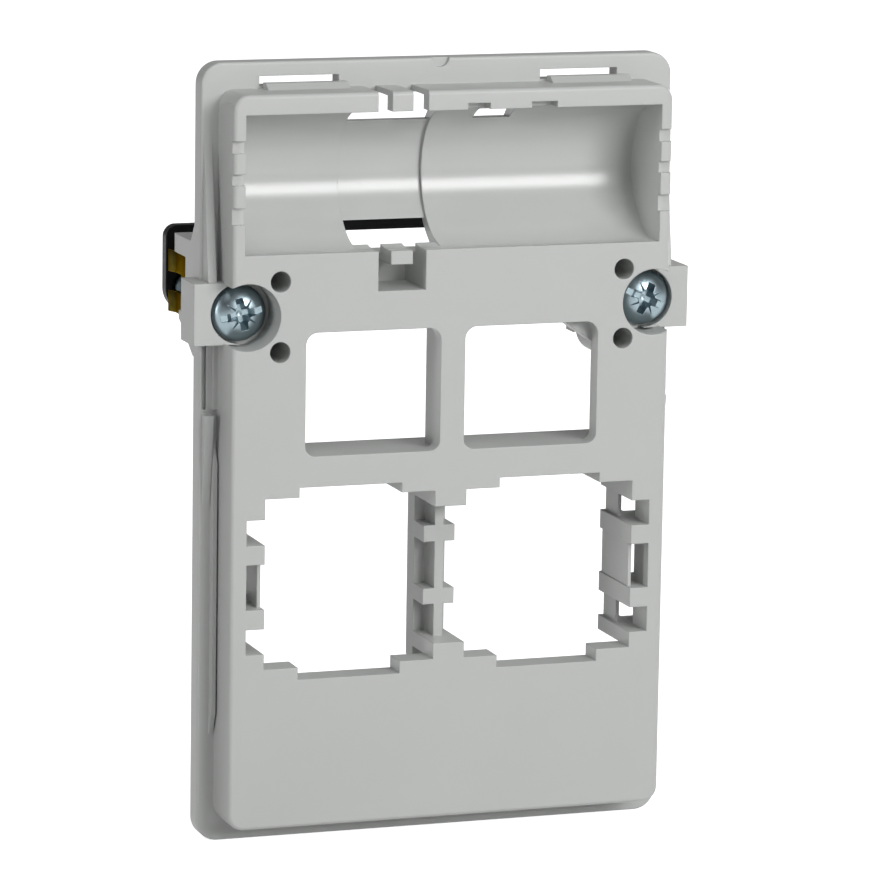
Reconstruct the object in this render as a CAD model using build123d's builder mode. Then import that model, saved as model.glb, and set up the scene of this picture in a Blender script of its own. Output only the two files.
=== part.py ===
from build123d import *
import os

# Data outlet mounting frame for two jacks, one and a half modules high.
# Units are millimetres. X is to the right, Y goes into the wall, Z is up.
# The origin is on the plane that lies against the wall, at the middle of the back plate.
# Heights are measured forward from the wall plane, and depths back from the block's front.

# Back plate
plate_width = 47.2
plate_height = 75.0
plate_thickness = 2.0
plate_corner = 2.1
plate_edge = 0.25
scallop_radius = 0.9
scallop_depth = 0.4

# Raised front block, a hollow shell
front_height = 7.0
side_rim = 1.7
block_top = 35.0
block_bottom = -35.4
block_corner = 1.5
block_edge = 0.4
skin = 1.8
side_wall = 1.5
partition = 1.2

# Half-round trough across the top of the block
trough_length = 41.5
trough_radius = 6.6
trough_z = 26.5
trough_axis_depth = 1.2
trough_wall = 1.1
recess_left = -9.2
recess_right = -0.8
recess_step = 0.45
end_notch_depth = 0.6
end_notches = [(29.5, 30.7), (26.5, 27.6), (22.8, 24.4)]

# Snap slots in the trough and notches in its lips
snap_slot_drop = 1.5
snap_slot_depth = 4.9
snap_slot_top = 34.3
small_slot_left = 3.45
small_slot_right = 7.2
small_slot_depth = 3.4
small_slot_peak = 0.5
small_slot_peak_width = 0.6
small_slot_peak_offset = 0.45
lower_slot_bottom = 19.2
lower_slot_top = 22.0
lower_slot_depth = 3.3
open_notches = [(-7.8, -6.4), (-4.35, -2.8)]
shallow_notches = [(1.1, 3.35), (7.5, 10.1)]
shallow_notch_rise = 0.6
shallow_notch_depth = 1.6

# Snap pocket under the trough
pocket_left = -7.6
pocket_right = -2.85
pocket_bottom = 16.1
pocket_depth = 6.0
tongue_left = -6.35
tongue_right = -4.2
tongue_bottom = 18.6

# Slots in the back plate above the block, with a snap ridge in front of each
cover_slot_inner = 10.1
cover_slot_outer = 17.95
cover_slot_bottom = 35.2
cover_slot_height = 0.95
snap_ridges = [(-17.6, -9.5), (10.8, 18.9)]
snap_ridge_rise = 0.55
snap_ridge_depth = 1.8

# Pilot holes for the cover screws
pilot_x = 17.22
pilot_z_high = 17.35
pilot_z_low = 10.65
pilot_radius = 1.0
pilot_depth = 5.5
pilot_boss_radius = 2.3

# Marking windows
window_inner = 1.21
window_outer = 14.66
window_bottom = 0.56
window_top = 12.4
window_corner = 1.2
window_foot_corner = 1.0
window_sill = 1.3
window_post_depth = 4.3
window_web_width = 3.1
window_web_drop = 2.2
window_web_root = 1.0

# Jack bays
bay_inner = 1.57
bay_outer = 18.54
bay_top = -3.33
bay_bottom = -19.78
bay_sill_depth = 2.8
notch_inner = 4.94
notch_outer = 15.15
notch_top = -2.38
notch_bottom = -20.96
pocket_reach = 20.35
bay_pockets = [(-7.75, -5.3), (-13.95, -9.6), (-18.3, -15.85)]
cage_depth = 8.4
cage_wall = 0.35
cage_wall_inner = 18.95
cage_wall_depth = 4.7
cage_wall_back = 8.0
cage_wall_root = 0.1
middle_cage_shift = 0.3
middle_cage_depth = 1.0
cage_gap_outer = 21.3
cage_gap_depth = 3.7
plate_gap_outer = 21.75

# Post between the two bays
post_tab = 1.55
post_bars = [(-8.95, -7.35), (-15.1, -13.55)]
post_bar_depth = 3.2
post_web = 0.9
post_web_depth = 3.2
post_rail_depth = 6.0
post_back_depth = 8.0

# Screw posts and ears at the sides
screw_x = 20.35
screw_z = 14.05
screw_recess_radius = 3.2
screw_seat = 3.0
screw_post_radius = 4.3
screw_hole_radius = 1.65
head_clearance = 0.2
ear_overhang = 1.27
ear_top = 17.0
ear_bottom = 11.1
ear_height = 4.3

# Ramps, ribs and grooves along the sides of the back plate
ramp_width = 1.1
ramp_start = 30.0
ramp_rise = 1.8
pad_top = 4.2
pad_end = -5.0
pad_rise = 1.3
rib_gap = 0.15
rib_width = 0.4
rib_rise = 1.0
rib_top = 1.8
rib_bottom = -27.0
rib_taper = 2.3
groove_rim = 0.25
groove_width = 0.4
groove_depth = 0.5
groove_bottom = 4.6
side_ridge_width = 0.45
side_ridge_rise = 0.4

# Claw housings behind the plate
housing_inner = 16.5
housing_wall = 1.2
housing_reach = 6.5
shelf_bottom = 18.5
shelf_top = 20.3
shelf_root = 22.0
shelf_root_reach = 1.2
skirt_thickness = 0.5
front_skirt_reach = 2.9
front_skirt_bottom = 12.0
gusset_reach = 5.0
gusset_top = 13.1
gusset_root = 9.6
gusset_tip = 12.3
floor_bottom = 9.4
floor_top = 10.6
floor_reach = 3.5
strap_post_width = 2.0
strap_post_bottom = 15.3
strap_post_top = 18.0
peg_radius = 0.7
peg_proud = 0.4

# Claw plates
claw_gap = 0.3
claw_bottom = 12.2
claw_thickness = 0.6
claw_base_reach = 5.8
claw_base_thickness = 1.2
claw_flap_reach = 4.1
claw_prong_reach = 10.0
claw_notch_bottom = 14.25
claw_notch_top = 16.1
claw_lip = 0.4
claw_lip_length = 1.2
thread_clearance = 0.05

# Clamp screws
head_radius = 2.7
head_height = 2.1
head_dome = 0.75
thread_radius = 1.5
screw_length = 22.0
screw_point = 0.5
drive_slot_width = 0.7
drive_slot_length = 4.3
drive_slot_depth = 0.7
star_width = 0.8
star_length = 2.9
star_depth = 1.3
slot_turn = 45

# Black strap that ties the two housings together at the back
strap_reach = 12.0
strap_thickness = 1.2
strap_inset = 0.75
strap_top = 20.2
strap_bar_bottom = 19.1
strap_end_bottom = 11.6
strap_end_inner = 15.4
strap_top_corner = 1.2
strap_foot_corner = 2.4
strap_hole_radius = 1.8
peg_clearance = 0.02

os.makedirs("parts", exist_ok=True)

# Places worked out from the values above
block_height = block_top - block_bottom
block_middle = (block_top + block_bottom) / 2
plate_side = plate_width / 2
block_side = plate_side - side_rim
block_inside = front_height - skin
inner_side = block_side - side_wall
trough_axis = front_height - trough_axis_depth
trough_top = trough_z + trough_radius
trough_bottom = trough_z - trough_radius
ear_outer = plate_side + ear_overhang
ramp_inner = plate_side - ramp_width
groove_outer = plate_side - groove_rim
groove_top = ear_bottom - plate_edge
skirt_inner = plate_side - skirt_thickness
claw_outer = skirt_inner - claw_gap
claw_inner = housing_inner + housing_wall + claw_gap
claw_top = shelf_bottom - claw_gap
strap_half_width = plate_side - strap_inset
peg_x = housing_inner + housing_wall - strap_post_width / 2
peg_z = (strap_post_bottom + strap_post_top) / 2
thread_tip = screw_seat - screw_length
past = 1.0


def level(height):
    """The plane parallel to the wall at a height in front of it."""
    return Plane.XZ.offset(height)


def screw_level(side, height):
    """The same plane with its origin on the axis of the screw on one side."""
    return Plane(origin=(side * screw_x, -height, screw_z), x_dir=(1, 0, 0), z_dir=(0, -1, 0))


def outline(left, right, bottom, top, mode=Mode.ADD):
    """Draws a rectangle by its four edges in the open sketch."""
    with Locations(((left + right) / 2, (bottom + top) / 2)):
        Rectangle(abs(right - left), top - bottom, mode=mode)


def cross_section(side, inner, outer):
    """The upright plane across the frame where a stretch between two distances from the middle starts."""
    return Plane.YZ.offset(min(side * inner, side * outer))


# The moulded frame: plate, block, trough, windows, jack bays, ears and housings in one piece
with BuildPart() as mounting_frame:
    # Back plate with rounded corners and a shallow scallop in its top edge
    with BuildSketch(level(0)):
        RectangleRounded(plate_width, plate_height, plate_corner)
    extrude(amount=plate_thickness)
    plate_face = mounting_frame.faces().sort_by(Axis.Y)[0]
    fillet(plate_face.outer_wire().edges(), plate_edge)
    with BuildSketch(level(plate_thickness - scallop_depth)):
        with Locations((0, plate_height / 2)):
            Circle(scallop_radius)
    extrude(amount=scallop_depth, mode=Mode.SUBTRACT)

    # Front block, softened along its front edge and hollow behind the skin
    with BuildSketch(level(plate_thickness)):
        with Locations((0, block_middle)):
            RectangleRounded(2 * block_side, block_height, block_corner)
    extrude(amount=front_height - plate_thickness)
    block_face = mounting_frame.faces().sort_by(Axis.Y)[0]
    fillet(block_face.outer_wire().edges(), block_edge)
    with BuildSketch(level(0)):
        with Locations((0, block_middle)):
            Rectangle(2 * inner_side, block_height - 2 * side_wall)
    extrude(amount=block_inside, mode=Mode.SUBTRACT)

    # Body of the trough, a half tube that stands out behind the plate
    with BuildSketch(Plane.YZ.offset(-trough_length / 2 - trough_wall)):
        with Locations((-trough_axis, trough_z)):
            Circle(trough_radius + trough_wall)
        outline(-block_inside, trough_radius, block_bottom, block_top, mode=Mode.INTERSECT)
    extrude(amount=trough_length + 2 * trough_wall)

    # Box around the snap pocket
    with BuildSketch(level(0)):
        outline(pocket_left - partition, pocket_right + partition, pocket_bottom - partition, trough_z)
    extrude(amount=block_inside)

    # Sill under the windows, the post between them and the web across the right one's outer corner
    with BuildSketch(level(0)):
        outline(-inner_side, inner_side, window_bottom - window_sill, window_bottom)
    extrude(amount=block_inside)
    with BuildSketch(level(front_height - window_post_depth)):
        outline(-window_inner, window_inner, window_bottom, pocket_bottom)
        Polygon(
            (window_outer, window_top + window_web_root),
            (window_outer - window_web_width, window_top + window_web_root),
            (window_outer - window_web_width, window_top),
            (window_outer, window_top - window_web_drop),
            align=None,
        )
        outline(window_outer, inner_side, window_top - window_web_drop, window_top + window_web_root)
    extrude(amount=window_post_depth - skin)

    # Walls round the jack bays
    with BuildSketch(level(0)):
        outline(-inner_side, inner_side, bay_top, notch_top + partition)
    extrude(amount=block_inside)
    with BuildSketch(level(front_height - bay_sill_depth)):
        outline(-inner_side, inner_side, notch_bottom - partition, bay_bottom)
    extrude(amount=bay_sill_depth - skin)
    with BuildSketch(level(front_height - cage_depth)):
        for side in (-1, 1):
            outline(side * bay_outer, side * inner_side, bay_bottom, bay_top)
    extrude(amount=cage_depth - skin)

    # Bosses for the pilot holes and the screw posts
    with BuildSketch(level(front_height - pilot_depth - partition)):
        for side in (-1, 1):
            for height in (pilot_z_low, pilot_z_high):
                with Locations((side * pilot_x, height)):
                    Circle(pilot_boss_radius)
    extrude(amount=pilot_depth + partition - skin)
    with BuildSketch(level(0)):
        for side in (-1, 1):
            with Locations((side * screw_x, screw_z)):
                Circle(screw_post_radius)
        outline(-block_side, block_side, block_bottom, block_top, mode=Mode.INTERSECT)
    extrude(amount=block_inside)

    # Claw housings: a guide wall, a shelf over the claw, a floor under it and skirts outside it
    for side in (-1, 1):
        with BuildSketch(cross_section(side, housing_inner, housing_inner + housing_wall)):
            outline(-block_inside, housing_reach, floor_bottom, shelf_top)
        extrude(amount=housing_wall)
        with BuildSketch(cross_section(side, housing_inner, plate_side)):
            Polygon(
                (-plate_thickness / 2, shelf_bottom),
                (housing_reach, shelf_bottom),
                (housing_reach, shelf_top),
                (shelf_root_reach, shelf_top),
                (0, shelf_root),
                (-plate_thickness / 2, shelf_root),
                align=None,
            )
            outline(-plate_thickness / 2, floor_reach, floor_bottom, floor_top)
        extrude(amount=plate_side - housing_inner)
        with BuildSketch(cross_section(side, skirt_inner, plate_side)):
            outline(-plate_thickness / 2, front_skirt_reach, front_skirt_bottom, shelf_bottom)
            Polygon(
                (-plate_thickness / 2, gusset_root),
                (0, gusset_root),
                (gusset_reach, gusset_tip),
                (gusset_reach, gusset_top),
                (-plate_thickness / 2, gusset_top),
                align=None,
            )
        extrude(amount=skirt_thickness)

    # Posts that carry the strap, each with a peg through it
    with BuildSketch(level(-strap_reach)):
        for side in (-1, 1):
            with Locations((side * peg_x, peg_z)):
                Rectangle(strap_post_width, strap_post_top - strap_post_bottom)
    extrude(amount=strap_reach)
    with BuildSketch(level(-strap_reach - strap_thickness - peg_proud)):
        for side in (-1, 1):
            with Locations((side * peg_x, peg_z)):
                Circle(peg_radius)
    extrude(amount=strap_thickness + peg_proud)

    # Snap ridges along the top wall of the block
    for left, right in snap_ridges:
        with BuildSketch(Plane.YZ.offset(left)):
            Polygon(
                (-plate_thickness, block_top),
                (-plate_thickness, block_top + snap_ridge_rise),
                (-plate_thickness - snap_ridge_depth / 2, block_top + snap_ridge_rise),
                (-plate_thickness - snap_ridge_depth, block_top),
                align=None,
            )
        extrude(amount=right - left)

    # Ramps and tapered pads on the rim, and the long ribs, low ridges and grooves beside the block
    for side in (-1, 1):
        with BuildSketch(cross_section(side, ramp_inner, plate_side - plate_edge)):
            Polygon(
                (-plate_thickness, ramp_start),
                (-plate_thickness - ramp_rise, ear_top),
                (-plate_thickness, ear_top),
                align=None,
            )
            Polygon(
                (-plate_thickness, pad_top),
                (-plate_thickness - pad_rise, pad_top),
                (-plate_thickness, pad_end),
                align=None,
            )
        extrude(amount=plate_side - plate_edge - ramp_inner)
        with BuildSketch(cross_section(side, block_side + rib_gap, block_side + rib_gap + rib_width)):
            Polygon(
                (-plate_thickness, rib_top),
                (-plate_thickness - rib_rise, rib_top - rib_taper),
                (-plate_thickness - rib_rise, rib_bottom + rib_taper),
                (-plate_thickness, rib_bottom),
                align=None,
            )
        extrude(amount=rib_width)
        with BuildSketch(level(plate_thickness)):
            outline(side * block_side, side * (block_side + side_ridge_width), groove_bottom, groove_top)
        extrude(amount=side_ridge_rise)
        with BuildSketch(level(plate_thickness - groove_depth)):
            outline(side * (groove_outer - groove_width), side * groove_outer, groove_bottom, groove_top)
        extrude(amount=groove_depth, mode=Mode.SUBTRACT)

    # Screw recesses, open to the side, with the ears outside them
    for side in (-1, 1):
        with BuildSketch(screw_level(side, screw_seat)):
            Circle(screw_recess_radius)
        extrude(amount=front_height, mode=Mode.SUBTRACT)
    with BuildSketch(level(0)):
        for side in (-1, 1):
            outline(side * inner_side, side * ear_outer, ear_bottom, ear_top)
    extrude(amount=ear_height)
    for side in (-1, 1):
        with BuildSketch(screw_level(side, screw_seat)):
            Circle(head_radius + head_clearance)
        extrude(amount=front_height, mode=Mode.SUBTRACT)
        with BuildSketch(screw_level(side, -past)):
            Circle(screw_hole_radius)
        extrude(amount=front_height, mode=Mode.SUBTRACT)

    # Channel of the trough with its deeper middle stretch
    channel_start = Plane.YZ.offset(-trough_length / 2)
    with BuildSketch(channel_start):
        with Locations((-trough_axis, trough_z)):
            Circle(trough_radius)
        outline(-front_height - past, -trough_axis, trough_bottom, trough_top)
    extrude(amount=trough_length, mode=Mode.SUBTRACT)
    with BuildSketch(Plane.YZ.offset(recess_left)):
        with Locations((recess_step - trough_axis, trough_z)):
            Circle(trough_radius)
    extrude(amount=recess_right - recess_left, mode=Mode.SUBTRACT)

    # Notches in the end walls and in the upper lip
    with BuildSketch(level(front_height - end_notch_depth)):
        for side in (-1, 1):
            for low, high in end_notches:
                outline(side * trough_length / 2, side * (block_side + past), low, high)
    extrude(amount=end_notch_depth + past, mode=Mode.SUBTRACT)
    with BuildSketch(level(plate_thickness)):
        for left, right in open_notches:
            outline(left, right, trough_top - snap_slot_drop, block_top + past)
    extrude(amount=front_height - plate_thickness + past, mode=Mode.SUBTRACT)
    with BuildSketch(level(front_height - shallow_notch_depth)):
        for left, right in shallow_notches:
            outline(left, right, trough_top - snap_slot_drop, trough_top + shallow_notch_rise)
    extrude(amount=shallow_notch_depth + past, mode=Mode.SUBTRACT)

    # Slots through the wall of the trough
    with BuildSketch(level(-trough_radius)):
        outline(recess_left, recess_right, trough_top - snap_slot_drop, snap_slot_top)
    extrude(amount=trough_radius + front_height - snap_slot_depth, mode=Mode.SUBTRACT)
    with BuildSketch(level(-trough_radius)):
        outline(small_slot_left, small_slot_right, trough_top - snap_slot_drop, trough_top)
        peak_left = small_slot_left + small_slot_peak_offset
        outline(peak_left, peak_left + small_slot_peak_width, trough_top, trough_top + small_slot_peak)
    extrude(amount=trough_radius + front_height - small_slot_depth, mode=Mode.SUBTRACT)
    with BuildSketch(level(-trough_radius)):
        outline(recess_left, recess_right, lower_slot_bottom, lower_slot_top)
    extrude(amount=trough_radius + front_height - lower_slot_depth, mode=Mode.SUBTRACT)

    # Snap pocket with its tongue left standing
    with BuildSketch(level(front_height - pocket_depth)):
        outline(pocket_left, pocket_right, pocket_bottom, trough_bottom + past)
        outline(tongue_left, tongue_right, tongue_bottom, trough_bottom + past, mode=Mode.SUBTRACT)
    extrude(amount=pocket_depth + past, mode=Mode.SUBTRACT)

    # Slots in the plate above the block
    with BuildSketch(level(0)):
        for side in (-1, 1):
            outline(
                side * cover_slot_inner,
                side * cover_slot_outer,
                cover_slot_bottom,
                cover_slot_bottom + cover_slot_height,
            )
    extrude(amount=plate_thickness, mode=Mode.SUBTRACT)

    # Blind pilot holes
    with BuildSketch(level(front_height - pilot_depth)):
        for side in (-1, 1):
            for height in (pilot_z_low, pilot_z_high):
                with Locations((side * pilot_x, height)):
                    Circle(pilot_radius)
    extrude(amount=pilot_depth + past, mode=Mode.SUBTRACT)

    # Marking windows
    with BuildSketch(level(block_inside)) as windows:
        for side in (-1, 1):
            outline(side * window_inner, side * window_outer, window_bottom, window_top)
        fillet(windows.vertices().group_by(Axis.Y)[-1], window_corner)
        fillet(windows.vertices().group_by(Axis.Y)[0], window_foot_corner)
    extrude(amount=skin + past, mode=Mode.SUBTRACT)

    # Jack bays with their wide notches and side pockets
    with BuildSketch(level(-cage_depth)) as bays:
        for side in (-1, 1):
            outline(side * bay_inner, side * bay_outer, bay_bottom, bay_top)
            outline(side * notch_inner, side * notch_outer, notch_bottom, notch_top)
            for low, high in bay_pockets:
                outline(side * bay_outer, side * pocket_reach, low, high)
        outline(-bay_inner, bay_inner, bay_bottom + post_tab, bay_top - post_tab)
    extrude(amount=cage_depth + front_height + past, mode=Mode.SUBTRACT)
    with BuildSketch(level(-cage_depth)):
        for side in (-1, 1):
            for low, high in bay_pockets:
                outline(side * pocket_reach, side * cage_gap_outer, low, high)
    extrude(amount=cage_depth + front_height - cage_gap_depth, mode=Mode.SUBTRACT)
    with BuildSketch(level(0)):
        for side in (-1, 1):
            for low, high in bay_pockets:
                outline(side * pocket_reach, side * plate_gap_outer, low, high)
    extrude(amount=plate_thickness, mode=Mode.SUBTRACT)

    # Inner walls of the side cages, set back behind the front
    with BuildSketch(level(front_height - cage_wall_back)):
        for side in (-1, 1):
            for low, high in (bay_pockets[0], bay_pockets[2]):
                outline(
                    side * cage_wall_inner,
                    side * (cage_wall_inner + cage_wall),
                    low - cage_wall_root,
                    high + cage_wall_root,
                )
    extrude(amount=cage_wall_back - cage_wall_depth)
    middle_wall = cage_wall_inner - middle_cage_shift
    with BuildSketch(level(front_height - cage_wall_back)):
        for side in (-1, 1):
            low, high = bay_pockets[1]
            outline(
                side * middle_wall,
                side * (middle_wall + cage_wall),
                low - cage_wall_root,
                high + cage_wall_root,
            )
    extrude(amount=cage_wall_back - middle_cage_depth)

    # Post between the bays: snap bars on a thin web, with a rail behind
    with BuildSketch(level(front_height - post_back_depth)):
        outline(-bay_inner, bay_inner, notch_bottom, notch_top)
    extrude(amount=post_back_depth - post_rail_depth)
    with BuildSketch(level(front_height - post_rail_depth)):
        outline(-bay_inner, bay_inner, bay_top - post_tab, bay_top)
        outline(-bay_inner, bay_inner, bay_bottom, bay_bottom + post_tab)
    extrude(amount=post_rail_depth - skin)
    with BuildSketch(level(front_height - post_rail_depth)):
        for low, high in post_bars:
            outline(-bay_inner, bay_inner, low, high)
    extrude(amount=post_rail_depth - post_bar_depth)
    with BuildSketch(level(front_height - post_rail_depth)):
        outline(-post_web / 2, post_web / 2, bay_bottom, bay_top)
    extrude(amount=post_rail_depth - post_web_depth)

mounting_frame.part.label = "mounting_frame"
export_step(mounting_frame.part, "parts/mounting_frame.step")

# The two clamp screws, pan head with a combined slot and star drive
for side, place in ((-1, "left"), (1, "right")):
    with BuildPart() as clamp_screw:
        with BuildSketch(screw_level(side, screw_seat)):
            Circle(head_radius)
        extrude(amount=head_height)
        fillet(clamp_screw.faces().sort_by(Axis.Y)[0].edges(), head_dome)
        with BuildSketch(screw_level(side, thread_tip)):
            Circle(thread_radius)
        extrude(amount=screw_length)
        chamfer(clamp_screw.faces().sort_by(Axis.Y)[-1].edges(), screw_point)
        with BuildSketch(screw_level(side, screw_seat + head_height - drive_slot_depth)):
            SlotOverall(drive_slot_length, drive_slot_width, rotation=slot_turn)
        extrude(amount=head_height, mode=Mode.SUBTRACT)
        with BuildSketch(screw_level(side, screw_seat + head_height - star_depth)):
            Rectangle(star_length, star_width)
            Rectangle(star_width, star_length)
        extrude(amount=head_height, mode=Mode.SUBTRACT)
    clamp_screw.part.label = "clamp_screw_" + place
    export_step(clamp_screw.part, "parts/clamp_screw_" + place + ".step")

# The two claw plates, each bent from sheet with a threaded base and two prongs
for side, place in ((-1, "left"), (1, "right")):
    with BuildPart() as claw_plate:
        with BuildSketch(level(-claw_base_reach - claw_base_thickness)):
            outline(side * claw_inner, side * claw_outer, claw_bottom, claw_top)
        extrude(amount=claw_base_thickness)
        with BuildSketch(level(-claw_prong_reach)):
            outline(side * (claw_outer - claw_thickness), side * claw_outer, claw_bottom, claw_top)
        extrude(amount=claw_prong_reach - claw_flap_reach)
        with BuildSketch(cross_section(side, claw_outer, claw_outer + claw_lip)):
            with Locations((claw_prong_reach - claw_lip_length / 2, (claw_bottom + claw_top) / 2)):
                Rectangle(claw_lip_length, claw_top - claw_bottom)
        extrude(amount=claw_lip)
        with BuildSketch(level(-claw_prong_reach)):
            outline(side * (claw_outer - claw_thickness), side * (claw_outer + claw_lip),
                    claw_notch_bottom, claw_notch_top)
        extrude(amount=claw_prong_reach - claw_base_reach - claw_base_thickness, mode=Mode.SUBTRACT)
        with BuildSketch(screw_level(side, -claw_base_reach - claw_base_thickness)):
            Circle(thread_radius + thread_clearance)
        extrude(amount=claw_base_thickness, mode=Mode.SUBTRACT)
    claw_plate.part.label = "claw_plate_" + place
    export_step(claw_plate.part, "parts/claw_plate_" + place + ".step")

# The black strap: a thin bar behind the trough with a wide plate at each end
with BuildPart() as claw_strap:
    with BuildSketch(level(-strap_reach - strap_thickness)) as strap_sketch:
        for side in (-1, 1):
            outline(side * strap_end_inner, side * strap_half_width, strap_end_bottom, strap_top)
        outline(-strap_end_inner, strap_end_inner, strap_bar_bottom, strap_top)
        outer_corners = strap_sketch.vertices().group_by(Axis.X)
        fillet(ShapeList([outer_corners[0].sort_by(Axis.Y)[0], outer_corners[-1].sort_by(Axis.Y)[0]]),
               strap_foot_corner)
        outer_corners = strap_sketch.vertices().group_by(Axis.Y)[-1].sort_by(Axis.X)
        fillet(ShapeList([outer_corners[0], outer_corners[-1]]), strap_top_corner)
    extrude(amount=strap_thickness)
    with BuildSketch(level(-strap_reach - strap_thickness)):
        for side in (-1, 1):
            with Locations((side * screw_x, screw_z)):
                Circle(strap_hole_radius)
            with Locations((side * peg_x, peg_z)):
                Circle(peg_radius + peg_clearance)
    extrude(amount=strap_thickness, mode=Mode.SUBTRACT)

claw_strap.part.label = "claw_strap"
export_step(claw_strap.part, "parts/claw_strap.step")
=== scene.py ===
import math

import bmesh
import bpy
from mathutils import Matrix, Vector


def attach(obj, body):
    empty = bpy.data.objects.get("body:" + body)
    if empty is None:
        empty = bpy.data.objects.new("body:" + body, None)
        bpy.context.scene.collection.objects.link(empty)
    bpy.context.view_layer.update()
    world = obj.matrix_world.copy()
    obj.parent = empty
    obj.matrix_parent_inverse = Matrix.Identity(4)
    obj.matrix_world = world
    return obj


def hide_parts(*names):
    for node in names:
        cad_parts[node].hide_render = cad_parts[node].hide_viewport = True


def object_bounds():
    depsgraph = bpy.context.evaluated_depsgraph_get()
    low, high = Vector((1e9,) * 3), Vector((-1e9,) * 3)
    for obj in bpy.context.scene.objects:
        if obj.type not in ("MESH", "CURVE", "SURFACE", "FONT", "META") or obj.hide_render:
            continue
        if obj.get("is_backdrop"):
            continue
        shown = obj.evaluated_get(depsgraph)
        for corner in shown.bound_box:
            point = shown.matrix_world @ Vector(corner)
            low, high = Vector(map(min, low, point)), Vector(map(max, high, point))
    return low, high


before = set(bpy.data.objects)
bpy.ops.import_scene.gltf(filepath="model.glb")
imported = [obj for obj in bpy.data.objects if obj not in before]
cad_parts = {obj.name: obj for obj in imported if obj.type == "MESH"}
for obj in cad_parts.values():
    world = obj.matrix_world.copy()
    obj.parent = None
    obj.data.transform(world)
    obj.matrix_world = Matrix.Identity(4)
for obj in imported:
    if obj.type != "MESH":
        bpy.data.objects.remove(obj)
cad_low, cad_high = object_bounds()
mm = 0.001

# The mounting frame is one injection moulding in light grey ABS, with the plate, the block, the trough,
# the jack bays and the claw housings in one piece. The tool is finely spark-eroded where it makes the
# outside, and its core for the trough is polished.

abs_grey = "#BCBEBC"
abs_grey_flow = "#B8BAB8"
# The lighter grey of the trough is painted light, not a colour of the plastic.
abs_grey_trough_painted_light = "#C3C5C3"
abs_ior = 1.53
satin_roughness = 0.44
polished_roughness = 0.235
# The grain of spark erosion is near 0.05 mm. It is drawn at 0.3 mm, so that it shows.
erosion_grain = 0.3 * mm
erosion_depth = 0.003 * mm
erosion_gloss = 0.02
flow_wave = 9 * mm
flow_depth = 0.02 * mm
edge_round = 0.14 * mm
noise_low = 0.3
noise_high = 0.7
trough_low = 19.9 * mm
trough_high = 33.1 * mm
trough_end = 21.2 * mm
block_front = -6.9 * mm
snap_gap_across = (-9.2 * mm, -0.8 * mm)
snap_gap_deep = (-5.4 * mm, -1.9 * mm)
snap_gap_up = (32.2 * mm, 34.45 * mm)
housing_inner = 16.4 * mm
housing_outer = 23.8 * mm
housing_slant_back = 4.6 * mm
housing_slant_low = 9.2 * mm
housing_slant_high = 12.1 * mm
weld_distance = 0.0005 * mm
moulding_crisp_angle = 25
bevel_samples = 6


def linear(code):
    """The linear colour, with alpha, of an sRGB hex code."""
    parts = [int(code[i : i + 2], 16) / 255 for i in (1, 3, 5)]
    parts = [c / 12.92 if c <= 0.04045 else ((c + 0.055) / 1.055) ** 2.4 for c in parts]
    return (*parts, 1.0)


def add_node(tree, kind, inputs=None, **settings):
    """Adds a node, sets its settings, and gives each named input a value or another node's output."""
    made = tree.nodes.new("ShaderNode" + kind)
    for name, value in settings.items():
        setattr(made, name, value)
    for name, value in (inputs or {}).items():
        if isinstance(value, bpy.types.NodeSocket):
            tree.links.new(value, made.inputs[name])
        else:
            made.inputs[name].default_value = value
    return made


def start_material(name):
    """A material with an empty node tree."""
    made = bpy.data.materials.new(name)
    made.use_nodes = True
    made.node_tree.nodes.clear()
    return made


# Moulded ABS has a satin skin that spreads the light evenly, with faint waves where the plastic flowed.
# The polished trough carries painted light, a colour a little lighter than the rest, and a soft band of light
# runs along it.
moulded_abs = start_material("moulded_abs_light_grey")
tree = moulded_abs.node_tree
spot = add_node(tree, "TexCoord").outputs["Object"]
part_of_spot = add_node(tree, "SeparateXYZ", {"Vector": spot})
above_low = add_node(
    tree, "Math", {0: part_of_spot.outputs["Z"], 1: trough_low}, operation="GREATER_THAN"
)
below_high = add_node(
    tree, "Math", {0: part_of_spot.outputs["Z"], 1: trough_high}, operation="LESS_THAN"
)
behind_front = add_node(
    tree, "Math", {0: part_of_spot.outputs["Y"], 1: block_front}, operation="GREATER_THAN"
)
in_band = add_node(
    tree, "Math", {0: above_low.outputs[0], 1: below_high.outputs[0]}, operation="MULTIPLY"
)
in_recess = add_node(
    tree, "Math", {0: in_band.outputs[0], 1: behind_front.outputs[0]}, operation="MULTIPLY"
)
off_middle = add_node(tree, "Math", {0: part_of_spot.outputs["X"]}, operation="ABSOLUTE")
within_ends = add_node(tree, "Math", {0: off_middle.outputs[0], 1: trough_end}, operation="LESS_THAN")
in_trough = add_node(
    tree, "Math", {0: in_recess.outputs[0], 1: within_ends.outputs[0]}, operation="MULTIPLY"
)
flow = add_node(tree, "TexNoise", {"Vector": spot, "Scale": 1 / flow_wave, "Detail": 2.0})
grain = add_node(tree, "TexNoise", {"Vector": spot, "Scale": 1 / erosion_grain, "Detail": 3.0})
tone = add_node(
    tree,
    "Mix",
    {0: flow.outputs["Fac"], 6: linear(abs_grey), 7: linear(abs_grey_flow)},
    data_type="RGBA",
)
# Painted light: inside the trough the skin takes the lighter grey.
skin_tone_with_painted_trough_light = add_node(
    tree,
    "Mix",
    {0: in_trough.outputs[0], 6: tone.outputs[2], 7: linear(abs_grey_trough_painted_light)},
    data_type="RGBA",
)
gloss = add_node(
    tree,
    "MapRange",
    {"Value": in_trough.outputs[0], "To Min": satin_roughness, "To Max": polished_roughness},
)
gloss_spread = add_node(
    tree,
    "MapRange",
    {
        "Value": grain.outputs["Fac"],
        "From Min": noise_low,
        "From Max": noise_high,
        "To Min": -erosion_gloss,
        "To Max": erosion_gloss,
    },
)
roughness = add_node(
    tree, "Math", {0: gloss.outputs[0], 1: gloss_spread.outputs[0]}, operation="ADD"
)
rounded_edges = add_node(tree, "Bevel", {"Radius": edge_round}, samples=bevel_samples)
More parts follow.
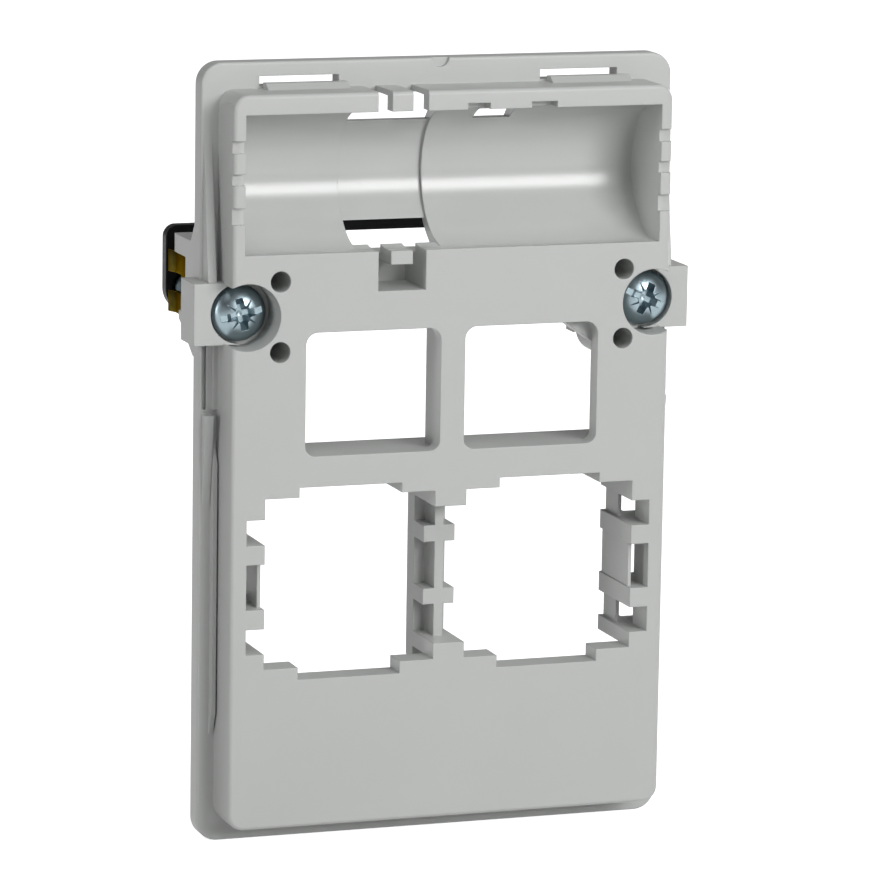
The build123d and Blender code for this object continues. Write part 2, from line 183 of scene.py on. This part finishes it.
waves = add_node(
    tree,
    "Bump",
    {
        "Height": flow.outputs["Fac"],
        "Distance": flow_depth,
        "Strength": 1.0,
        "Normal": rounded_edges.outputs[0],
    },
)
erosion = add_node(
    tree,
    "Bump",
    {
        "Height": grain.outputs["Fac"],
        "Distance": erosion_depth,
        "Strength": 1.0,
        "Normal": waves.outputs[0],
    },
)
skin = add_node(
    tree,
    "BsdfPrincipled",
    {
        "Base Color": skin_tone_with_painted_trough_light.outputs[2],
        "Roughness": roughness.outputs[0],
        "IOR": abs_ior,
        "Normal": erosion.outputs[0],
    },
)
add_node(tree, "OutputMaterial", {"Surface": skin.outputs[0]})


def mesh_object(name, bm):
    """An object in the scene from a bmesh, which is used up."""
    bmesh.ops.recalc_face_normals(bm, faces=bm.faces)
    mesh = bpy.data.meshes.new(name)
    bm.to_mesh(mesh)
    bm.free()
    made = bpy.data.objects.new(name, mesh)
    bpy.context.scene.collection.objects.link(made)
    return made


def settle(piece):
    """Turns what a piece's modifiers give into its own mesh."""
    bpy.context.view_layer.update()
    shown = piece.evaluated_get(bpy.context.evaluated_depsgraph_get())
    mesh = bpy.data.meshes.new_from_object(shown)
    piece.modifiers.clear()
    piece.data = mesh


def combine(piece, operation, *tools):
    """Cuts closed shapes out of a piece, or joins them to it, and removes them."""
    for tool in tools:
        change = piece.modifiers.new("change", "BOOLEAN")
        change.object = tool
        change.operation = operation
        change.solver = "EXACT"
        settle(piece)
        bpy.data.objects.remove(tool)


def smooth_within(piece, degrees):
    """Smooth shading, with edges sharper than the angle kept crisp."""
    piece.data.shade_smooth()
    piece.data.set_sharp_from_angle(angle=math.radians(degrees))


def prism(side_profile, low, high):
    """A closed prism along X between two places. Its profile is points of depth and height."""
    bm = bmesh.new()
    ends = [[bm.verts.new((x, y, z)) for y, z in side_profile] for x in (low, high)]
    for end in ends:
        bm.faces.new(end)
    count = len(side_profile)
    for k in range(count):
        n = (k + 1) % count
        bm.faces.new((ends[0][k], ends[0][n], ends[1][n], ends[1][k]))
    return mesh_object("prism", bm)


bm = bmesh.new()
bm.from_mesh(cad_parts["mounting_frame"].data)
bmesh.ops.remove_doubles(bm, verts=bm.verts, dist=weld_distance)
moulding = mesh_object("mounting_frame_trimmed", bm)
moulding.data.attributes.remove(moulding.data.attributes["custom_normal"])
snap_gap = [
    (snap_gap_deep[0], snap_gap_up[0]),
    (snap_gap_deep[1], snap_gap_up[0]),
    (snap_gap_deep[1], snap_gap_up[1]),
    (snap_gap_deep[0], snap_gap_up[1]),
]
cutters = [prism(snap_gap, *snap_gap_across)]
slant = [
    (0.0, housing_slant_low),
    (housing_slant_back, housing_slant_high),
    (housing_slant_back, housing_slant_low),
]
for low, high in ((-housing_outer, -housing_inner), (housing_inner, housing_outer)):
    cutters.append(prism(slant, low, high))
combine(moulding, "DIFFERENCE", *cutters)
smooth_within(moulding, moulding_crisp_angle)
moulding.data.materials.clear()
moulding.data.materials.append(moulded_abs)
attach(moulding, "frame")
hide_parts("mounting_frame")

# The two clamp screws are cold-headed steel, M3 with a pan head and a drive that takes a cross or a flat
# blade. Bright zinc plating with blue passivation makes them glint, and they are screwed into the claws
# through the holes of the screw posts.

screw_x = 20.35 * mm
screw_z = 14.05 * mm
screw_seat = 3.0 * mm
head_radius = 2.7 * mm
head_height = 2.1 * mm
head_rim = 0.5 * mm
crown_flatness = 2.5
head_facets = 72
head_edge = 0.12 * mm
head_crisp_angle = 28
dome_steps = 18
thread_outer = 1.49 * mm
thread_core = 1.22 * mm
thread_pitch = 0.5 * mm
thread_facets = 28
thread_length = 20.3 * mm
thread_start = 0.3 * mm
thread_taper = 2.2 * mm
thread_tip = 0.62
drive_proud = 0.3
wing_length = 3.5 * mm
wing_foot_length = 1.7 * mm
wing_width = 0.8 * mm
wing_foot_width = 0.5 * mm
wing_depth = 1.15 * mm
core_radius = 0.95 * mm
core_foot_radius = 0.5 * mm
core_depth = 1.3 * mm
core_foot_share = 0.8
core_sides = 8
blade_length = 4.1 * mm
blade_width = 0.62 * mm
blade_depth = 0.5 * mm
tick_length = 3.6 * mm
tick_width = 0.24 * mm
tick_foot_share = 0.05
tick_depth = 0.3 * mm
drive_turns = {"left": 12, "right": -24}
zinc_tone = "#97A6AD"
zinc_tint = "#8B9BA1"
# The thread's darker tone is painted shade.
thread_painted_shade_tone = "#4E585C"
zinc_roughness = 0.34
zinc_edge = 0.05 * mm
zinc_shine = 0.06
zinc_dull = 0.08
plating_cloud = 0.9 * mm
plating_depth = 0.004 * mm


def turned(bm, profile, facets):
    """Adds a solid turned about Z to the bmesh. The profile is radius and height, from axis to axis."""
    rings = []
    for radius, height in profile:
        if radius == 0:
            rings.append([bm.verts.new((0, 0, height))])
        else:
            turn = [2 * math.pi * k / facets for k in range(facets)]
            rings.append([bm.verts.new((radius * math.cos(t), radius * math.sin(t), height)) for t in turn])
    for one, two in zip(rings, rings[1:]):
        for k in range(facets):
            n = (k + 1) % facets
            corners = [one[k % len(one)], one[n % len(one)], two[n % len(two)], two[k % len(two)]]
            bm.faces.new(list(dict.fromkeys(corners)))


def tapered_cutter(top, foot, width, foot_width, depth, turn):
    """A blade-like cutter that goes down into the crown of the head and narrows towards its foot."""
    bm = bmesh.new()
    corners = []
    for share in (-drive_proud, 1.0):
        half = (top + (foot - top) * share) / 2
        side = (width + (foot_width - width) * share) / 2
        for x, y in ((-half, -side), (half, -side), (half, side), (-half, side)):
            corners.append(bm.verts.new((x, y, head_height - depth * share)))
    bm.faces.new(corners[:4])
    bm.faces.new(corners[4:])
    for k in range(4):
        n = (k + 1) % 4
        bm.faces.new((corners[k], corners[n], corners[4 + n], corners[4 + k]))
    bmesh.ops.rotate(bm, verts=bm.verts, matrix=Matrix.Rotation(math.radians(turn), 3, "Z"))
    return mesh_object("cutter", bm)


def thread(bm):
    """Adds the screw's helical thread to the bmesh, closed at both ends."""
    count = int(round((thread_length + thread_start) / thread_pitch)) * thread_facets
    ridge = {"root": [], "crest": []}
    for k in range(count + 1):
        turn = 2 * math.pi * k / thread_facets
        for name, radius, lag in (("root", thread_core, 0.0), ("crest", thread_outer, 0.5)):
            height = thread_start - (k / thread_facets + lag) * thread_pitch
            height = max(height, -thread_length)
            along = (height + thread_length) / thread_taper
            narrow = min(1.0, thread_tip + (1 - thread_tip) * along)
            spot = (narrow * radius * math.cos(turn), narrow * radius * math.sin(turn), height)
            ridge[name].append(bm.verts.new(spot))
    root, crest = ridge["root"], ridge["crest"]
    for k in range(count):
        bm.faces.new((root[k], root[k + 1], crest[k + 1], crest[k]))
        if k + 1 + thread_facets <= count:
            bm.faces.new((crest[k], crest[k + 1], root[k + 1 + thread_facets], root[k + thread_facets]))
    open_edges = [e for e in bm.edges if e.is_boundary]
    bmesh.ops.holes_fill(bm, edges=open_edges, sides=0)


# Bright zinc mirrors the room in a soft, bluish and slightly cloudy way. The thread is painted darker than
# the head, as painted shade.
bright_zinc = start_material("bright_zinc_plated_steel")
tree = bright_zinc.node_tree
spot = add_node(tree, "TexCoord").outputs["Object"]
cloud = add_node(tree, "TexNoise", {"Vector": spot, "Scale": 1 / plating_cloud, "Detail": 3.0})
tone = add_node(
    tree, "Mix", {0: cloud.outputs["Fac"], 6: linear(zinc_tone), 7: linear(zinc_tint)}, data_type="RGBA"
)
height = add_node(tree, "SeparateXYZ", {"Vector": spot}).outputs["Z"]
below_head = add_node(tree, "Math", {0: height, 1: 0.0}, operation="LESS_THAN")
# Painted shade: below the head the thread takes a darker tone.
tone = add_node(
    tree, "Mix", {0: below_head.outputs[0], 6: tone.outputs[2], 7: linear(thread_painted_shade_tone)}, data_type="RGBA"
)
polish = add_node(
    tree,
    "MapRange",
    {
        "Value": cloud.outputs["Fac"],
        "From Min": noise_low,
        "From Max": noise_high,
        "To Min": zinc_roughness - zinc_shine,
        "To Max": zinc_roughness + zinc_dull,
    },
)
rounded_edges = add_node(tree, "Bevel", {"Radius": zinc_edge}, samples=bevel_samples)
ripple = add_node(
    tree,
    "Bump",
    {"Height": cloud.outputs["Fac"], "Distance": plating_depth, "Normal": rounded_edges.outputs[0]},
)
skin = add_node(
    tree,
    "BsdfPrincipled",
    {
        "Base Color": tone.outputs[2],
        "Metallic": 1.0,
        "Roughness": polish.outputs[0],
        "Normal": ripple.outputs[0],
    },
)
add_node(tree, "OutputMaterial", {"Surface": skin.outputs[0]})

for side, place in ((-1, "left"), (1, "right")):
    bm = bmesh.new()
    dome = [(0.0, head_height)]
    for k in range(1, dome_steps + 1):
        share = math.sin(0.5 * math.pi * k / dome_steps)
        rise = (1 - share**crown_flatness) ** 0.5
        dome.append((head_radius * share, head_rim + (head_height - head_rim) * rise))
    under = [(head_radius, head_edge), (head_radius - head_edge, 0.0), (0.0, 0.0)]
    turned(bm, dome + under, head_facets)
    head = mesh_object("clamp_screw_" + place + "_detailed", bm)
    turn = drive_turns[place]
    wing = (wing_length, wing_foot_length, wing_width, wing_foot_width, wing_depth)
    blade = (blade_length, blade_length, blade_width, blade_width, blade_depth)
    tick = (tick_length, tick_length, tick_width, tick_foot_share * tick_width, tick_depth)
    cutters = [
        tapered_cutter(*shape, turn + degrees)
        for shape, degrees in ((wing, 0), (wing, 90), (blade, 0), (tick, 45), (tick, 135))
    ]
    bm = bmesh.new()
    proud = drive_proud * mm
    well = [
        (0.0, head_height + proud),
        (core_radius, head_height + proud),
        (core_radius, head_height),
        (core_foot_radius, head_height - core_depth * core_foot_share),
        (0.0, head_height - core_depth),
    ]
    turned(bm, well, core_sides)
    cutters.append(mesh_object("cutter", bm))
    combine(head, "DIFFERENCE", *cutters)
    bm = bmesh.new()
    bm.from_mesh(head.data)
    thread(bm)
    bm.to_mesh(head.data)
    bm.free()
    smooth_within(head, head_crisp_angle)
    head.data.materials.clear()
    head.data.materials.append(bright_zinc)
    head_place = Matrix.Translation((side * screw_x, -screw_seat, screw_z))
    head.matrix_world = head_place @ Matrix.Rotation(math.radians(90), 4, "X")
    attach(head, "screw_" + place)
    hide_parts("clamp_screw_" + place)

# The two claw plates are stamped and bent from thin steel strip, with a tapped base that the screw draws
# forward and two hooked prongs that bite into the wall box. Yellow passivation over the zinc gives them a
# brassy, slightly rainbow-coloured skin.

claw_outer = 22.8 * mm
claw_inner = 18.0 * mm
claw_bottom = 12.2 * mm
claw_top = 18.2 * mm
claw_sheet = 0.6 * mm
claw_front = 4.1 * mm
claw_base_front = 5.8 * mm
claw_base_back = 7.0 * mm
claw_tip = 10.0 * mm
claw_notch = (14.25 * mm, 16.1 * mm)
claw_hook = 0.4 * mm
claw_hook_length = 1.4 * mm
claw_edge = 0.12 * mm
claw_edge_angle = 40
claw_crisp_angle = 35
claw_rows = 26
claw_plate_rows = 4
claw_overlap = 0.2 * mm
drill_clearance = 0.05 * mm
drill_length = 4 * mm
drill_start = 1 * mm
drill_facets = 40
passivated_gold = "#4F4622"
passivated_rose = "#473B23"
passivated_olive = "#39341D"
# A painted highlight: bright gold laid along every edge of the claws.
passivated_edge_highlight = "#C9A03C"
passivated_grazing = "#C0B184"
passivated_roughness = 0.3
passivated_shine = 0.08
passivated_dull = 0.12
passivated_corner = 0.1 * mm
rainbow_patch = 2.2 * mm
rainbow_ends = (0.3, 0.7)
rolling_along = 0.08
# The streaks of rolled strip are near 0.03 mm. They are drawn at 0.12 mm, so that they show.
rolling_streak = 0.12 * mm
rolling_depth = 0.004 * mm
edge_highlight_from = 0.99
edge_highlight_to = 0.9

# Yellow passivation is a thin clear gold over zinc. It looks dark and brassy, with faint patches of olive and
# rose and fine streaks from rolling. Its edges carry a painted highlight of bright gold.
yellow_passivated = start_material("yellow_passivated_steel")
tree = yellow_passivated.node_tree
spot = add_node(tree, "TexCoord").outputs["Object"]
patch = add_node(tree, "TexNoise", {"Vector": spot, "Scale": 1 / rainbow_patch, "Detail": 2.0})
tone = add_node(tree, "ValToRGB", {"Fac": patch.outputs["Fac"]})
tone.color_ramp.elements[0].position = rainbow_ends[0]
tone.color_ramp.elements[0].color = linear(passivated_olive)
tone.color_ramp.elements[1].position = rainbow_ends[1]
tone.color_ramp.elements[1].color = linear(passivated_rose)
tone.color_ramp.elements.new(0.5).color = linear(passivated_gold)
rolled = add_node(tree, "Mapping", {"Vector": spot, "Scale": (1.0, rolling_along, 1.0)})
streaks = add_node(
    tree, "TexNoise", {"Vector": rolled.outputs[0], "Scale": 1 / rolling_streak, "Detail": 2.0}
)
polish = add_node(
    tree,
    "MapRange",
    {
        "Value": streaks.outputs["Fac"],
        "To Min": passivated_roughness - passivated_shine,
        "To Max": passivated_roughness + passivated_dull,
    },
)
rounded_edges = add_node(tree, "Bevel", {"Radius": passivated_corner}, samples=bevel_samples)
rolling = add_node(
    tree,
    "Bump",
    {"Height": streaks.outputs["Fac"], "Distance": rolling_depth, "Normal": rounded_edges.outputs[0]},
)
flat_side = add_node(tree, "NewGeometry").outputs["Normal"]
edge_turn = add_node(
    tree, "VectorMath", {0: rounded_edges.outputs[0], 1: flat_side}, operation="DOT_PRODUCT"
)
# Painted highlight: where the rounded normal turns away from the flat side, the colour goes bright gold.
painted_edge_highlight = add_node(
    tree,
    "MapRange",
    {"Value": edge_turn.outputs["Value"], "From Min": edge_highlight_from, "From Max": edge_highlight_to},
    interpolation_type="SMOOTHSTEP",
)
tone_with_edge_highlight = add_node(
    tree,
    "Mix",
    {0: painted_edge_highlight.outputs[0], 6: tone.outputs[0], 7: linear(passivated_edge_highlight)},
    data_type="RGBA",
)
skin = add_node(
    tree,
    "BsdfPrincipled",
    {
        "Base Color": tone_with_edge_highlight.outputs[2],
        "Metallic": 1.0,
        "Specular Tint": linear(passivated_grazing),
        "Roughness": polish.outputs[0],
        "Normal": rolling.outputs[0],
    },
)
add_node(tree, "OutputMaterial", {"Surface": skin.outputs[0]})


def block(bm, low, high, rows=1):
    """Adds a box between two corners to the bmesh, divided along Y."""
    rings = []
    for k in range(rows + 1):
        y = low[1] + (high[1] - low[1]) * k / rows
        ring = ((low[0], low[2]), (high[0], low[2]), (high[0], high[2]), (low[0], high[2]))
        rings.append([bm.verts.new((x, y, z)) for x, z in ring])
    bm.faces.new(rings[0])
    bm.faces.new(rings[-1])
    for one, two in zip(rings, rings[1:]):
        for k in range(4):
            n = (k + 1) % 4
            bm.faces.new((one[k], one[n], two[n], two[k]))


for side, place in ((-1, "left"), (1, "right")):
    bm = bmesh.new()
    face = claw_outer - claw_sheet
    block(bm, (face, claw_front, claw_bottom), (claw_outer, claw_base_back, claw_top), claw_plate_rows)
    claw = mesh_object("claw_plate_" + place + "_detailed", bm)
    for low, high in ((claw_bottom, claw_notch[0]), (claw_notch[1], claw_top)):
        bm = bmesh.new()
        block(bm, (face, claw_base_back - claw_overlap, low), (claw_outer, claw_tip, high), claw_rows)
        for v in bm.verts:
            share = max(0.0, (v.co.y - (claw_tip - claw_hook_length)) / claw_hook_length)
            v.co.x += claw_hook * share * share * (3 - 2 * share)
        prong = mesh_object("prong", bm)
        combine(claw, "UNION", prong)
    bm = bmesh.new()
    low = (claw_inner, claw_base_front, claw_bottom)
    high = (claw_outer - claw_overlap, claw_base_back, claw_top)
    block(bm, low, high)
    base = mesh_object("base", bm)
    combine(claw, "UNION", base)
    bm = bmesh.new()
    hole = thread_outer + drill_clearance
    turned(bm, [(0.0, 0.0), (hole, 0.0), (hole, drill_length), (0.0, drill_length)], drill_facets)
    drill = mesh_object("drill", bm)
    drill_place = Matrix.Translation((screw_x, claw_base_back + drill_start, screw_z))
    drill.matrix_world = drill_place @ Matrix.Rotation(math.radians(90), 4, "X")
    combine(claw, "DIFFERENCE", drill)
    for v in claw.data.vertices:
        v.co.x *= side
    if side < 0:
        claw.data.flip_normals()
    edges = claw.modifiers.new("edges", "BEVEL")
    edges.width = claw_edge
    edges.segments = 2
    edges.limit_method = "ANGLE"
    edges.angle_limit = math.radians(claw_edge_angle)
    settle(claw)
    smooth_within(claw, claw_crisp_angle)
    claw.data.materials.clear()
    claw.data.materials.append(yellow_passivated)
    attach(claw, "claw_" + place)
    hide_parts("claw_plate_" + place)

# The strap is a flat steel stamping with a black dipped coat. It ties the two claw housings together at the
# back, and its wide ends guide the screws' points. It is pushed over the pegs of the housings.

coat_black = "#0F0F10"
coat_dust = "#191A1B"
coat_roughness = 0.42
coat_ior = 1.3
coat_shine = 0.08
coat_dull = 0.1
coat_edge = 0.2 * mm
coat_orange_peel = 0.5 * mm
coat_dimple = 0.01 * mm

# The dipped coat is near black and half matt, with the slight dimples of a coat that dried on its own.
black_coat = start_material("black_dipped_steel")
tree = black_coat.node_tree
spot = add_node(tree, "TexCoord").outputs["Object"]
peel = add_node(tree, "TexNoise", {"Vector": spot, "Scale": 1 / coat_orange_peel, "Detail": 2.0})
tone = add_node(
    tree, "Mix", {0: peel.outputs["Fac"], 6: linear(coat_black), 7: linear(coat_dust)}, data_type="RGBA"
)
polish = add_node(
    tree,
    "MapRange",
    {
        "Value": peel.outputs["Fac"],
        "To Min": coat_roughness - coat_shine,
        "To Max": coat_roughness + coat_dull,
    },
)
rounded_edges = add_node(tree, "Bevel", {"Radius": coat_edge}, samples=bevel_samples)
dimples = add_node(
    tree,
    "Bump",
    {"Height": peel.outputs["Fac"], "Distance": coat_dimple, "Normal": rounded_edges.outputs[0]},
)
skin = add_node(
    tree,
    "BsdfPrincipled",
    {
        "Base Color": tone.outputs[2],
        "Roughness": polish.outputs[0],
        "IOR": coat_ior,
        "Normal": dimples.outputs[0],
    },
)
add_node(tree, "OutputMaterial", {"Surface": skin.outputs[0]})

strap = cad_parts["claw_strap"]
strap.data.materials.clear()
strap.data.materials.append(black_coat)

# The studio is a white sweep with soft lights at the front right, above, at the left and low behind the
# right side. Behind the frame the sweep and the room clip to plain white, so the floor shows no shadow.
# Glossy surfaces mirror a dimmer room, and the room's fill is weaker at the back left.

floor_half = 1.5
floor_gap = 0.02 * mm
floor_z = cad_low.z - floor_gap
sweep_white = "#C4C4C4"
paper_share = 0.75
paper_glow = 0.86

white_sweep = start_material("white_paper_sweep")
tree = white_sweep.node_tree
ray = add_node(tree, "LightPath")
seen = add_node(
    tree, "Math", {0: ray.outputs["Is Camera Ray"], 1: ray.outputs["Is Glossy Ray"]}, operation="MAXIMUM"
)
seen = add_node(
    tree, "Math", {0: seen.outputs[0], 1: ray.outputs["Is Transmission Ray"]}, operation="MAXIMUM"
)
lit_paper = add_node(tree, "BsdfDiffuse", {"Color": linear(sweep_white)})
faint_paper = add_node(tree, "BsdfDiffuse", {"Color": (paper_share, paper_share, paper_share, 1.0)})
glow = add_node(tree, "Emission", {"Strength": paper_glow})
shown_paper = add_node(tree, "AddShader", {0: faint_paper.outputs[0], 1: glow.outputs[0]})
paper = add_node(
    tree, "MixShader", {0: seen.outputs[0], 1: lit_paper.outputs[0], 2: shown_paper.outputs[0]}
)
add_node(tree, "OutputMaterial", {"Surface": paper.outputs[0]})

bm = bmesh.new()
corners = ((-1, -1), (1, -1), (1, 1), (-1, 1))
bm.faces.new([bm.verts.new((x * floor_half, y * floor_half, floor_z)) for x, y in corners])
floor = mesh_object("paper_floor", bm)
floor.data.materials.append(white_sweep)
floor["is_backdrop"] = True

room_front_fill = 0.26
room_back_fill = 0.1
room_dim_side = (-0.6, 0.8, 0.0)
room_dim_from = -0.2
room_dim_to = 0.4
room_front_level = 0.16
room_back_level = 0.24
room_level_from = -0.35
room_level_to = 0.25
world = bpy.data.worlds.new("white_room")
world.use_nodes = True
tree = world.node_tree
tree.nodes.clear()
ray = add_node(tree, "LightPath")
seen = add_node(
    tree,
    "Math",
    {0: ray.outputs["Is Camera Ray"], 1: ray.outputs["Is Transmission Ray"]},
    operation="MAXIMUM",
)
direction = add_node(tree, "TexCoord").outputs["Generated"]
toward = add_node(tree, "SeparateXYZ", {"Vector": direction}).outputs["Y"]
toward_dim = add_node(
    tree, "VectorMath", {0: direction, 1: room_dim_side}, operation="DOT_PRODUCT"
)
mirrored = add_node(
    tree,
    "MapRange",
    {
        "Value": toward,
        "From Min": room_level_from,
        "From Max": room_level_to,
        "To Min": room_front_level,
        "To Max": room_back_level,
    },
    interpolation_type="SMOOTHSTEP",
)
glossy = add_node(
    tree,
    "Math",
    {0: ray.outputs["Is Glossy Ray"], 1: mirrored.outputs[0]},
    operation="MULTIPLY",
)
fill = add_node(
    tree,
    "MapRange",
    {
        "Value": toward_dim.outputs["Value"],
        "From Min": room_dim_from,
        "From Max": room_dim_to,
        "To Min": room_front_fill,
        "To Max": room_back_fill,
    },
    interpolation_type="SMOOTHSTEP",
)
not_glossy = add_node(tree, "Math", {0: 1.0, 1: ray.outputs["Is Glossy Ray"]}, operation="SUBTRACT")
soft = add_node(tree, "Math", {0: fill.outputs[0], 1: not_glossy.outputs[0]}, operation="MULTIPLY")
indoor = add_node(tree, "Math", {0: glossy.outputs[0], 1: soft.outputs[0]}, operation="ADD")
level = add_node(
    tree, "Math", {0: indoor.outputs[0], 1: seen.outputs[0]}, operation="MAXIMUM"
)
room = add_node(tree, "Background", {"Color": (1.0, 1.0, 1.0, 1.0), "Strength": level.outputs[0]})
add_node(tree, "OutputWorld", {"Surface": room.outputs[0]})
bpy.context.scene.world = world


def toward_place(azimuth, elevation):
    """The direction from the frame to a place at an azimuth and elevation in degrees."""
    turn, rise = math.radians(azimuth), math.radians(elevation)
    return Vector((math.sin(turn) * math.cos(rise), -math.cos(turn) * math.cos(rise), math.sin(rise)))


def soft_light(name, azimuth, elevation, distance, size, watts):
    """A rectangular soft light that faces the frame from an azimuth and elevation in degrees."""
    back = toward_place(azimuth, elevation)
    lamp = bpy.data.lights.new(name, "AREA")
    lamp.shape = "RECTANGLE"
    lamp.size, lamp.size_y = size
    lamp.energy = watts
    made = bpy.data.objects.new(name, lamp)
    made.location = back * distance
    made.rotation_mode = "QUATERNION"
    made.rotation_quaternion = back.to_track_quat("Z", "Y")
    bpy.context.scene.collection.objects.link(made)


light_distance = 0.7
soft_light("front_right_softbox", 21, 19, light_distance, (0.34, 0.2), 2.75)
soft_light("top_softbox", -10, 62, light_distance, (0.5, 0.4), 1.3)
soft_light("left_softbox", -82, 8, light_distance, (0.1, 0.4), 1.15)
soft_light("back_softbox", 132, 4, light_distance, (0.2, 0.3), 2.8)

# The camera looks through a long lens from the left of the frame and a little above it, and leans by about
# one degree.

camera_azimuth = -19.376
camera_elevation = 10.52
camera_roll = 0.9
camera_distance = 505.58 * mm
camera_aim = Vector((-1.71, -7.0, 2.08)) * mm
lens_length = 220.15
sensor_width = 36.0

back = toward_place(camera_azimuth, camera_elevation)
camera_data = bpy.data.cameras.new("camera")
camera_data.lens = lens_length
camera_data.sensor_width = sensor_width
camera = bpy.data.objects.new("camera", camera_data)
level_turn = back.to_track_quat("Z", "Y").to_matrix().to_4x4()
camera.matrix_world = (
    Matrix.Translation(camera_aim + back * camera_distance)
    @ level_turn
    @ Matrix.Rotation(math.radians(camera_roll), 4, "Z")
)
bpy.context.scene.collection.objects.link(camera)
bpy.context.scene.camera = camera
bpy.context.scene.view_settings.view_transform = "Standard"

low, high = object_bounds()
